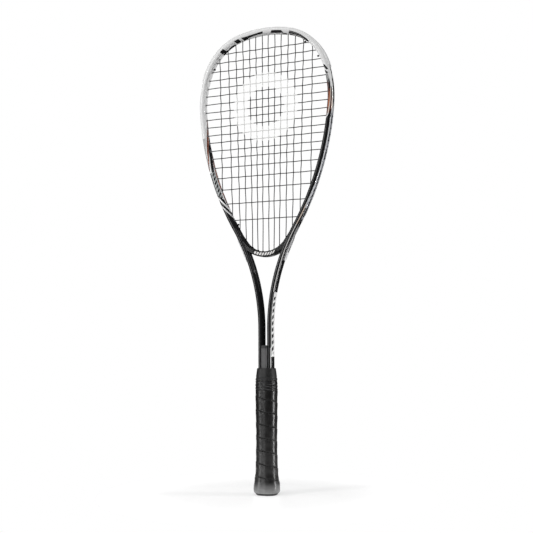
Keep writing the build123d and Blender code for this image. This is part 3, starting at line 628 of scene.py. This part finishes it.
def bridge_material():
    """Black moulding with a plain pale band printed across the middle of each face."""
    t = Tree("bridge_plastic")
    pos = t.pos()
    x, y, z = t.split(pos)
    r = t.vec("DISTANCE", t.xyz(x, 0.0, z), (0.0, 0.0, BRIDGE_C * MM))
    side = t.math("SIGN", y)
    xs = t.math("MULTIPLY", x, t.math("MULTIPLY", side, -1.0))      # left to right for whoever faces the side
    face = t.ramp(t.math("ABSOLUTE", y), 0.0040, 0.0046)
    lane = t.math("MULTIPLY", t.ramp(r, 0.0400, 0.0402), t.ramp(r, 0.0442, 0.0440))
    span = t.ramp(t.math("ABSOLUTE", xs), 0.0165, 0.0162)
    bars = t.math("PINGPONG", t.math("MULTIPLY_ADD", r, 0.6, xs), 0.0021)
    bars = t.ramp(bars, 0.00060, 0.00080)
    m = t.math("MULTIPLY", face, t.math("MULTIPLY", lane, t.math("MULTIPLY", span, bars)))
    n = t.ramp(t.noise(pos, 120.0, 4.0), 0.3, 0.7, 0.8, 1.1)
    base = t.mix(1.0, (0.008, 0.008, 0.0085), t.xyz(n, n, n), "MULTIPLY")
    # painted highlight: thin lighter grey lines along the ribs of the wings
    rib_highlight = t.math("PINGPONG", t.math("SUBTRACT", r, 0.0406), 0.0008)
    rib_highlight = t.math("MULTIPLY", t.ramp(rib_highlight, 0.00036, 0.00020), t.math("MULTIPLY", t.ramp(r, 0.0401, 0.0403), t.ramp(r, 0.0443, 0.0441)))
    rib_highlight = t.math("MULTIPLY", rib_highlight, t.math("MULTIPLY", face, t.ramp(t.math("ABSOLUTE", x), 0.0185, 0.0215)))
    base = t.mix(t.math("MULTIPLY", rib_highlight, 0.8), base, (0.13, 0.13, 0.13))
    col = t.mix(m, base, (0.80, 0.79, 0.78))
    t.set(Base_Color=col, Roughness=t.ramp(t.noise(pos, 260.0, 3.0), 0.3, 0.7, 0.26, 0.40),
          Normal=t.bump(t.noise(pos, 800.0, 3.0), 0.12, 0.00008))
    t.bsdf.inputs["Specular IOR Level"].default_value = 0.3
    return t.mat


mat_string = string_material()
assign("main_string", mat_string)
assign("cross_string", mat_string)
assign("throat_bridge", bridge_material())
assign("bumper_guard", moulded("bumper_nylon", (0.76, 0.76, 0.76), (0.36, 0.5), 0.05, 0.15, 900.0, dirt=(0.42, 0.41, 0.40)))


def strip_material():
    """Grommet strip: moulded nylon."""
    t = Tree("grommet_nylon")
    pos = t.pos()
    x, y, z = t.split(pos)
    n = t.ramp(t.noise(pos, 140.0, 4.0), 0.3, 0.7, 0.85, 1.05)
    # printed to carry on the silver panel of the frame beside it
    w = t.math("PINGPONG", t.math("MULTIPLY_ADD", t.math("ABSOLUTE", y), 1.7, z), 0.0044)
    hatch = t.mix(t.ramp(w, 0.0005, 0.0011), (0.12, 0.125, 0.135), (0.48, 0.49, 0.515))
    zone = t.math("MULTIPLY", t.ramp(z, 0.392, 0.396), t.ramp(z, 0.557, 0.553))
    flat = t.math("LESS_THAN", t.math("ABSOLUTE", y), 0.0031)
    base = t.mix(t.math("MULTIPLY", zone, flat), (0.012, 0.012, 0.0125), hatch)
    rails = t.math("GREATER_THAN", t.math("ABSOLUTE", y), 0.00195)
    low = t.ramp(z, 0.386, 0.380)
    base = t.mix(t.math("MULTIPLY", rails, low), base, (0.76, 0.76, 0.77))
    nose = t.ramp(z, 0.3475, 0.3465)
    base = t.mix(nose, base, (0.76, 0.76, 0.77))
    rr = t.vec("DISTANCE", t.xyz(x, 0.0, z), (0.0, 0.0, 0.560))
    inner = t.math("MULTIPLY", t.ramp(rr, 0.1068, 0.1062), t.ramp(z, 0.545, 0.550))
    base = t.mix(inner, base, (0.62, 0.62, 0.62))
    base = t.mix(t.ramp(z, 0.596, 0.600), base, (0.66, 0.66, 0.66))     # white where it meets the bumper
    col = t.mix(1.0, base, t.xyz(n, n, n), "MULTIPLY")
    t.set(Base_Color=col, Roughness=t.ramp(t.noise(pos, 300.0, 3.0), 0.3, 0.7, 0.34, 0.5),
          Normal=t.bump(t.noise(pos, 900.0, 2.0), 0.12, 0.00006))
    t.bsdf.inputs["Specular IOR Level"].default_value = 0.35
    return t.mat


mat_strip = strip_material()
for nm in ("side_grommet_strip_left", "side_grommet_strip_right", "bridge_grommet_strip"):
    assign(nm, mat_strip)


def insert_material():
    t = Tree("insert_rubber")
    pos = t.pos()
    x, y, z = t.split(pos)
    grain = t.noise(pos, 1500.0, 4.0, 0.65)
    blotch = t.noise(pos, 180.0, 4.0)
    v = t.math("MULTIPLY", t.ramp(grain, 0.25, 0.75, 0.7, 1.25), t.ramp(blotch, 0.3, 0.7, 0.85, 1.1))
    # painted shade: the rounded top of the insert made darker, as it lies in shadow
    shaded_top = t.ramp(z, 0.2075, 0.2095)
    grey = t.mix(1.0, (0.10, 0.10, 0.102), t.xyz(v, v, v), "MULTIPLY")
    col = t.mix(shaded_top, grey, (0.03, 0.03, 0.031))
    t.set(Base_Color=col, Roughness=t.ramp(blotch, 0.3, 0.7, 0.55, 0.75), Normal=t.bump(grain, 0.5, 0.00025))
    return t.mat


assign("shaft_insert", insert_material())


def foam_material():
    t = Tree("pallet_foam")
    pos = t.pos()
    cell = t.voronoi(pos, 900.0)
    v = t.ramp(cell, 0.0, 0.7, 0.75, 1.05)
    col = t.mix(1.0, (0.50, 0.44, 0.33), t.xyz(v, v, v), "MULTIPLY")
    t.set(Base_Color=col, Roughness=t.ramp(t.noise(pos, 200.0), 0.3, 0.7, 0.7, 0.9), Normal=t.bump(cell, 0.4, 0.0003))
    return t.mat


mat_foam = foam_material()
assign("handle_pallet_front", mat_foam)
assign("handle_pallet_back", mat_foam)


def steel_material():
    t = Tree("staple_steel")
    pos = t.pos()
    br = t.noise(t.scale(pos, (1.0, 0.08, 1.0)), 2600.0, 3.0)
    v = t.ramp(br, 0.3, 0.7, 0.85, 1.0)
    col = t.mix(1.0, (0.55, 0.55, 0.56), t.xyz(v, v, v), "MULTIPLY")
    t.set(Base_Color=col, Roughness=t.ramp(br, 0.3, 0.7, 0.22, 0.38), Normal=t.bump(br, 0.1, 0.00005))
    t.bsdf.inputs["Metallic"].default_value = 1.0
    return t.mat


assign("butt_cap_staples", steel_material())
assign("butt_cap", moulded("cap_plastic", (0.03, 0.03, 0.031), (0.45, 0.6), 0.1, 0.3, 1200.0))


def badge_material():
    """A plain disc with turned rings."""
    t = Tree("badge_plastic")
    pos = t.pos()
    x, y, z = t.split(pos)
    r = t.vec("DISTANCE", t.xyz(x, y, 0.0), (0.0, 0.0, 0.0))
    ring = t.math("PINGPONG", r, 0.0006)
    edge = t.math("MULTIPLY", t.ramp(r, 0.0072, 0.0074), t.ramp(r, 0.0082, 0.0080))
    n = t.ramp(t.noise(pos, 500.0), 0.3, 0.7, 0.9, 1.05)
    base = t.mix(1.0, (0.16, 0.165, 0.17), t.xyz(n, n, n), "MULTIPLY")
    col = t.mix(edge, base, (0.55, 0.55, 0.56))
    t.set(Base_Color=col, Roughness=t.ramp(t.noise(pos, 300.0), 0.3, 0.7, 0.25, 0.4), Normal=t.bump(ring, 0.2, 0.0001))
    return t.mat


assign("butt_badge", badge_material())

# =====================================================================================
# Handle: wrapped grip, finishing tape and collar
# =====================================================================================
GRIP = [(3.0, 35.0, 32.6, 14.0), (6.5, 37.0, 34.6, 14.6), (12.0, 36.6, 34.2, 14.4),
        (22.0, 33.6, 31.4, 13.4), (34.0, 31.2, 29.2, 12.6), (56.0, 29.8, 27.9, 12.1),
        (82.0, 29.4, 27.6, 12.0), (114.0, 30.2, 28.3, 12.2), (148.0, 31.0, 29.0, 12.5)]
TAPE = [(148.2, 31.2, 29.2, 12.6), (155.0, 31.2, 29.2, 12.6), (162.0, 30.6, 28.6, 12.3)]
COLLAR = [(162.2, 30.6, 28.6, 12.3), (170.0, 29.0, 27.2, 11.8), (180.0, 26.6, 24.9, 11.0)]


def smooth_rows(rows, z):
    """Rows of (z, w, d, r) read with a shape-keeping cubic."""
    zs = [r[0] for r in rows]
    z = max(zs[0], min(zs[-1], z))
    k = max(0, min(len(rows) - 2, sum(1 for q in zs if q <= z) - 1))

    def slope(i, c):
        if i == 0:
            return (rows[1][c] - rows[0][c]) / (zs[1] - zs[0])
        if i == len(rows) - 1:
            return (rows[-1][c] - rows[-2][c]) / (zs[-1] - zs[-2])
        a = (rows[i][c] - rows[i - 1][c]) / (zs[i] - zs[i - 1])
        b = (rows[i + 1][c] - rows[i][c]) / (zs[i + 1] - zs[i])
        return 0.0 if a * b <= 0 else 2 * a * b / (a + b)

    h = zs[k + 1] - zs[k]
    t = (z - zs[k]) / h
    out = []
    for c in (1, 2, 3):
        p0, p1, m0, m1 = rows[k][c], rows[k + 1][c], slope(k, c) * h, slope(k + 1, c) * h
        out.append((2 * t ** 3 - 3 * t ** 2 + 1) * p0 + (t ** 3 - 2 * t ** 2 + t) * m0
                   + (-2 * t ** 3 + 3 * t ** 2) * p1 + (t ** 3 - t ** 2) * m1)
    return out


NA = 176          # points round the handle


def ring_points(w, d, r):
    """(x, y, nx, ny) round a rounded rectangle; the list starts at the middle of the front and runs to +X."""
    hw, hd = w / 2 - r, d / 2 - r
    segs = [("l", (0.0, -d / 2), (hw, -d / 2), (0, -1)), ("a", (hw, -hd), -90),
            ("l", (w / 2, -hd), (w / 2, hd), (1, 0)), ("a", (hw, hd), 0),
            ("l", (hw, d / 2), (-hw, d / 2), (0, 1)), ("a", (-hw, hd), 90),
            ("l", (-w / 2, hd), (-w / 2, -hd), (-1, 0)), ("a", (-hw, -hd), 180),
            ("l", (-hw, -d / 2), (0.0, -d / 2), (0, -1))]
    share = [5, 34, 10, 34, 10, 34, 10, 34, 5]
    pts = []
    for sg, n in zip(segs, share):
        for k in range(n):
            f = k / n
            if sg[0] == "l":
                (x0, y0), (x1, y1), (nx, ny) = sg[1:]
                pts.append((x0 + (x1 - x0) * f, y0 + (y1 - y0) * f, nx, ny))
            else:
                a = math.radians(sg[2] + 90 * f)
                pts.append((sg[1][0] + r * math.cos(a), sg[1][1] + r * math.sin(a), math.cos(a), math.sin(a)))
    return pts


def smoothstep(a, b, x):
    t = max(0.0, min(1.0, (x - a) / (b - a)))
    return t * t * (3 - 2 * t)


def make_sleeve(name, rows, zlist, disp, core=13.3, attr=None, taper_in=0.25):
    """Closed sleeve: outer skin with its displacement, rounded ends, and a plain inner wall."""
    verts, faces, fvals = [], [], []
    n = None
    outer = []
    z_lo, z_hi = zlist[0], zlist[-1]
    for z in zlist:
        w, d, r = smooth_rows(rows, z)
        ring = ring_points(w, d, r)
        n = len(ring)
        end = min(1.0, min(z - z_lo, z_hi - z) / 0.8)
        tuck = taper_in * (1 - math.sqrt(max(0.0, 1 - (1 - end) ** 2)))
        for k, (x, y, nx, ny) in enumerate(ring):
            t = k / n
            h, f = disp(t, z, math.atan2(x, -y), x, y)
            h = h * min(1.0, end + 0.3) - tuck
            verts.append(((x + nx * h) * MM, max(-17.28, min(17.28, y + ny * h)) * MM, z * MM))
            fvals.append(f)
        outer.append(len(verts) - n)
    inner = []
    for z in (z_lo, z_hi):
        ring = ring_points(core * 2 + 0.1, core * 2 - 1.7, 10.5)
        for x, y, nx, ny in ring:
            verts.append((x * MM, y * MM, z * MM))
            fvals.append(0.0)
        inner.append(len(verts) - n)

    def band(a, b, flip=False):
        for j in range(n):
            k = (j + 1) % n
            q = (a + j, a + k, b + k, b + j)
            faces.append(q[::-1] if flip else q)

    for a, b in zip(outer[:-1], outer[1:]):
        band(a, b)
    band(inner[0], outer[0])
    band(outer[-1], inner[1])
    band(inner[1], inner[0])
    ob = new_mesh(name, verts, faces, 60)
    at = ob.data.attributes.new("F", "FLOAT", "POINT")
    at.data.foreach_set("value", np.array(fvals, np.float32))
    return ob


PITCH = 18.6


def grip_disp(t, z, ang, x, y):
    """Overlapping turns of tape: each turn's edge is a step, with creases that run off it."""
    wob = 1.1 * noise.noise(Vector((t * 6.0, z * 0.05, 3.1))) + 0.5 * noise.noise(Vector((math.cos(ang) * 2, math.sin(ang) * 2, z * 0.12)))
    w = (z + PITCH * t + wob - 6.0) / PITCH
    f = w - math.floor(w)                                  # 0 just above an edge, 1 just below the next
    ride_up = smoothstep(0.40, 0.80, f) * 0.36
    lip = 0.14 * math.exp(-((1.0 - f) / 0.05) ** 2)        # the edge itself stands slightly proud
    groove = -0.60 * math.exp(-(min(f, 1.0 - f + 0.06) / 0.040) ** 2)
    # creases, drawn out along the tape and strongest beside the edges
    q = Vector((math.cos(ang) * 3.2, math.sin(ang) * 3.2, (z + 9.0 * t) * 0.62))
    crease = noise.noise(q + Vector((0, 0, 7.0)))
    crease2 = noise.noise(Vector((math.cos(ang) * 5.0, math.sin(ang) * 5.0, (z - 16.0 * t) * 0.95)))
    near = 0.25 + 0.75 * (math.exp(-((f - 0.97) / 0.16) ** 2) + math.exp(-((f - 0.05) / 0.14) ** 2))
    patch = 0.35 + 0.65 * smoothstep(-0.1, 0.35, noise.noise(Vector((math.cos(ang), math.sin(ang), z * 0.045 + 2.0))))
    flare = 1.0 + 0.9 * smoothstep(40.0, 18.0, z)
    h = ride_up + lip + groove + (0.32 * crease + 0.30 * max(0.0, crease2) - 0.08) * near * patch * flare
    h += 0.10 * noise.noise(Vector((math.cos(ang) * 1.5, math.sin(ang) * 1.5, z * 0.05)))
    if z < 16:                                              # tight over the cap, no overlap there
        k = smoothstep(10.0, 16.0, z)
        h = h * k + (1 - k) * 0.12 * crease
    return h - 0.15, f


zs = [3.0 + 0.25 * k for k in range(5)] + [4.4 + 0.6 * k for k in range(238)]
zs = [z for z in zs if z < 147.4] + [147.5, 147.7, 147.9, 148.0]
grip = make_sleeve("grip_wrap_tape", GRIP, zs, grip_disp, core=13.0)


def tape_disp(t, z, ang, x, y):
    w = (z + 4.6 * t + 0.5 * noise.noise(Vector((math.cos(ang) * 2.2, math.sin(ang) * 2.2, z * 0.2)))) / 4.6
    f = w - math.floor(w)
    step = 0.42 * smoothstep(0.15, 0.9, f) - 0.34 * math.exp(-(min(f, 1 - f) / 0.07) ** 2)
    wr = noise.noise(Vector((math.cos(ang) * 2.6, math.sin(ang) * 2.6, (z + 5.0 * t) * 0.75)))
    return step + 0.42 * wr - 0.35, f


zt = [148.2 + 0.23 * k for k in range(60)] + [162.0]
tape = make_sleeve("finishing_tape_wound", TAPE, zt, tape_disp, core=13.0, taper_in=0.35)


def collar_disp(t, z, ang, x, y):
    bead = 0.32 * math.exp(-((z - 164.0) / 1.1) ** 2) - 0.28 * math.exp(-((z - 166.3) / 0.7) ** 2)
    k = t * 84.0
    a = abs(((k + z * 0.62) % 2.0) - 1.0)
    b = abs(((k - z * 0.62) % 2.0) - 1.0)
    knurl = 0.10 * min(a, b) * smoothstep(167.2, 168.4, z) * smoothstep(179.2, 178.4, z)
    return bead + knurl - 0.12, a * b


zc = [162.2 + 0.25 * k for k in range(71)] + [180.0]
collar = make_sleeve("grip_collar_rubber", COLLAR, zc, collar_disp, core=12.0, taper_in=0.7)


def grip_material():
    t = Tree("grip_pu")
    pos = t.pos()
    f = t.attr("F")
    grain = t.voronoi(pos, 1150.0)
    fine = t.noise(pos, 2400.0, 3.0, 0.7)
    cloud = t.noise(pos, 70.0, 4.0)
    streak = t.noise(t.scale(pos, (1.0, 1.0, 3.2)), 150.0, 4.0)
    v = t.math("MULTIPLY", t.ramp(cloud, 0.3, 0.7, 0.78, 1.15), t.ramp(streak, 0.3, 0.7, 0.85, 1.12))
    # painted shade: a dark band under each overlapping edge of the tape; the same mask also makes the seams duller
    seam_shade = t.math("MULTIPLY", t.ramp(f, 0.0, 0.15), t.ramp(f, 1.0, 0.98))
    col = t.mix(1.0, (0.0095, 0.009, 0.0088), t.xyz(v, v, v), "MULTIPLY")
    col = t.mix(seam_shade, (0.003, 0.003, 0.003), col)
    wear = t.math("MULTIPLY", t.ramp(f, 0.86, 0.97), t.ramp(streak, 0.5, 0.65))
    col = t.mix(t.math("MULTIPLY", wear, 0.5), col, (0.03, 0.029, 0.028))
    # painted light: the bottom end lighter grey, as if lit by the white floor below
    zz = t.split(pos)[2]
    floor_light = t.math("MULTIPLY", t.ramp(zz, 0.021, 0.004), t.ramp(streak, 0.2, 0.6, 0.8, 1.0))
    col = t.mix(floor_light, col, (0.20, 0.20, 0.20))
    h = t.math("ADD", t.math("MULTIPLY", grain, 0.7), t.math("MULTIPLY", fine, 0.5))
    rough = t.math("MULTIPLY_ADD", seam_shade, -0.44, t.ramp(cloud, 0.3, 0.7, 0.74, 0.84))      # duller in the seams
    t.set(Base_Color=col, Roughness=rough, Normal=t.bump(h, 0.35, 0.00012))
    return t.mat


def tape_material():
    t = Tree("finishing_tape")
    pos = t.pos()
    f = t.attr("F")
    cloud = t.noise(pos, 160.0, 4.0)
    fine = t.noise(t.scale(pos, (1.0, 1.0, 5.0)), 700.0, 3.0)
    v = t.ramp(cloud, 0.3, 0.7, 0.8, 1.2)
    col = t.mix(1.0, (0.009, 0.009, 0.0095), t.xyz(v, v, v), "MULTIPLY")
    t.set(Base_Color=col, Roughness=t.ramp(cloud, 0.3, 0.7, 0.30, 0.45), Normal=t.bump(fine, 0.3, 0.0002))
    return t.mat


def collar_material():
    t = Tree("collar_rubber")
    pos = t.pos()
    f = t.attr("F")
    mott = t.noise(pos, 420.0, 4.0, 0.7)
    v = t.math("MULTIPLY", t.ramp(mott, 0.3, 0.7, 0.65, 1.3), t.ramp(f, 0.0, 0.5, 0.8, 1.15))
    col = t.mix(1.0, (0.013, 0.013, 0.0135), t.xyz(v, v, v), "MULTIPLY")
    t.set(Base_Color=col, Roughness=t.ramp(mott, 0.3, 0.7, 0.48, 0.64),
          Normal=t.bump(t.noise(pos, 1600.0, 3.0), 0.3, 0.0002))
    return t.mat


for ob, mat, node, slot in ((grip, grip_material(), "grip_wrap", "grip_pu"),
                            (tape, tape_material(), "finishing_tape", "finishing_tape"),
                            (collar, collar_material(), "grip_collar", "collar_rubber")):
    ob.data.materials.append(mat)
    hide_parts(node)
    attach(ob, "root")

# =====================================================================================
# Stage, light and camera
# =====================================================================================


def make_floor():
    n, rad = 96, 0.24
    verts = [(0, 0, 0)]
    faces = []
    for r in (0.06, 0.15, rad):
        for k in range(n):
            a = 2 * math.pi * k / n
            verts.append((r * math.cos(a), r * math.sin(a), 0.0))
    for k in range(n):
        m = (k + 1) % n
        faces.append((0, 1 + k, 1 + m))
        faces.append((1 + k, 1 + n + k, 1 + n + m, 1 + m))
        faces.append((1 + n + k, 1 + 2 * n + k, 1 + 2 * n + m, 1 + n + m))
    ob = new_mesh("floor", verts, faces)
    t = Tree("floor_white")
    pos = t.pos()
    n1 = t.ramp(t.noise(pos, 6.0, 2.0), 0.3, 0.7, 0.985, 1.0)
    col = t.mix(1.0, (0.90, 0.90, 0.90), t.xyz(n1, n1, n1), "MULTIPLY")
    t.set(Base_Color=col, Roughness=t.ramp(t.noise(pos, 20.0), 0.3, 0.7, 0.16, 0.20))
    # painted light: the floor glows so it reads plain white, with less glow near the racket, which darkens the floor
    # round its foot
    t.bsdf.inputs["Emission Color"].default_value = (1, 1, 1, 1)
    r = t.vec("LENGTH", pos)
    t.put(t.bsdf.inputs["Emission Strength"], t.ramp(r, 0.10, 0.32, 0.46, 0.80))
    ob.data.materials.append(t.mat)
    return ob


make_floor()


def area(name, loc, target, size, power, colour=(1, 1, 1)):
    li = bpy.data.lights.new(name, "AREA")
    li.shape = "RECTANGLE"
    li.size, li.size_y = size
    li.energy = power
    li.color = colour
    ob = bpy.data.objects.new(name, li)
    ob.location = loc
    ob.rotation_mode = "QUATERNION"
    ob.rotation_quaternion = (Vector(target) - Vector(loc)).to_track_quat("-Z", "Y")
    bpy.context.scene.collection.objects.link(ob)
    return ob


def polar(az_deg, dist, z):
    a = math.radians(az_deg)
    return (math.sin(a) * dist, -math.cos(a) * dist, z)


area("softbox_left", polar(-38, 1.5, 0.50), (0, 0, 0.36), (0.37, 1.4), 13.0)
area("softbox_top", (-0.2, -0.4, 1.9), (0, 0, 0.5), (0.9, 0.8), 5.5)
area("strip_right_low", polar(108, 1.2, 0.0), (0, 0, 0.0), (0.05, 0.46), 6.0)
area("strip_right_high", polar(108, 1.2, 0.84), (0, 0, 0.5), (0.05, 0.5), 3.5)
area("strip_left_back", polar(-138, 1.25, 0.45), (0, 0, 0.36), (0.10, 1.2), 1.5)

# The camera sees a plain white wall; the racket is lit by a soft sky, and shiny parts mirror a darker room.
world = bpy.data.worlds.new("studio")
bpy.context.scene.world = world
world.use_nodes = True
wt = world.node_tree
wt.nodes.clear()


def wnode(kind, **inputs):
    n = wt.nodes.new(kind)
    for k, v in inputs.items():
        sock = n.inputs[k.replace("_", " ")]
        if isinstance(v, bpy.types.NodeSocket):
            wt.links.new(v, sock)
        else:
            sock.default_value = v
    return n


sky = wt.nodes.new("ShaderNodeTexCoord").outputs["Generated"]
sep = wt.nodes.new("ShaderNodeSeparateXYZ")
wt.links.new(sky, sep.inputs[0])
soft_up = wnode("ShaderNodeMapRange", Value=sep.outputs[2], From_Min=-0.3, From_Max=0.9, To_Min=0.30, To_Max=0.62)
dark_up = wnode("ShaderNodeMapRange", Value=sep.outputs[2], From_Min=0.0, From_Max=0.9, To_Min=0.01, To_Max=0.08)
seen = wnode("ShaderNodeBackground", Color=(1, 1, 1, 1), Strength=1.0)
amb = wnode("ShaderNodeBackground", Color=(1, 1, 1, 1), Strength=soft_up.outputs[0])
room = wnode("ShaderNodeBackground", Color=(1, 1, 1, 1), Strength=dark_up.outputs[0])
lp = wt.nodes.new("ShaderNodeLightPath")
m1 = wt.nodes.new("ShaderNodeMixShader")
wt.links.new(lp.outputs["Is Glossy Ray"], m1.inputs[0])
wt.links.new(amb.outputs[0], m1.inputs[1])
wt.links.new(room.outputs[0], m1.inputs[2])
m2 = wt.nodes.new("ShaderNodeMixShader")
wt.links.new(lp.outputs["Is Camera Ray"], m2.inputs[0])
wt.links.new(m1.outputs[0], m2.inputs[1])
wt.links.new(seen.outputs[0], m2.inputs[2])
wo = wt.nodes.new("ShaderNodeOutputWorld")
wt.links.new(m2.outputs[0], wo.inputs[0])

az, el, roll, dist = math.radians(23.0), math.radians(-5.21), math.radians(-0.21), 1.352
back = Vector((math.sin(az) * math.cos(el), -math.cos(az) * math.cos(el), math.sin(el)))
fwd = -back
right = fwd.cross(Vector((0, 0, 1))).normalized()
target = Vector((0, 0, 0.328)) + right * 0.0006
up = right.cross(fwd)
r2 = right * math.cos(roll) + up * math.sin(roll)
u2 = -right * math.sin(roll) + up * math.cos(roll)
cam_data = bpy.data.cameras.new("camera")
cam = bpy.data.objects.new("camera", cam_data)
bpy.context.scene.collection.objects.link(cam)
cam.rotation_mode = "QUATERNION"
cam.rotation_quaternion = Matrix((r2, u2, back)).transposed().to_quaternion()
cam.location = target + back * dist
cam_data.sensor_fit = "HORIZONTAL"
cam_data.sensor_width = 36.0
cam_data.lens = 923.0 / 533.0 * 36.0
cam_data.clip_start, cam_data.clip_end = 0.01, 50.0
bpy.context.scene.camera = cam
bpy.context.scene.view_settings.view_transform = "Standard"
bpy.context.scene.view_settings.look = "None"
bpy.context.scene.view_settings.exposure = 0.0
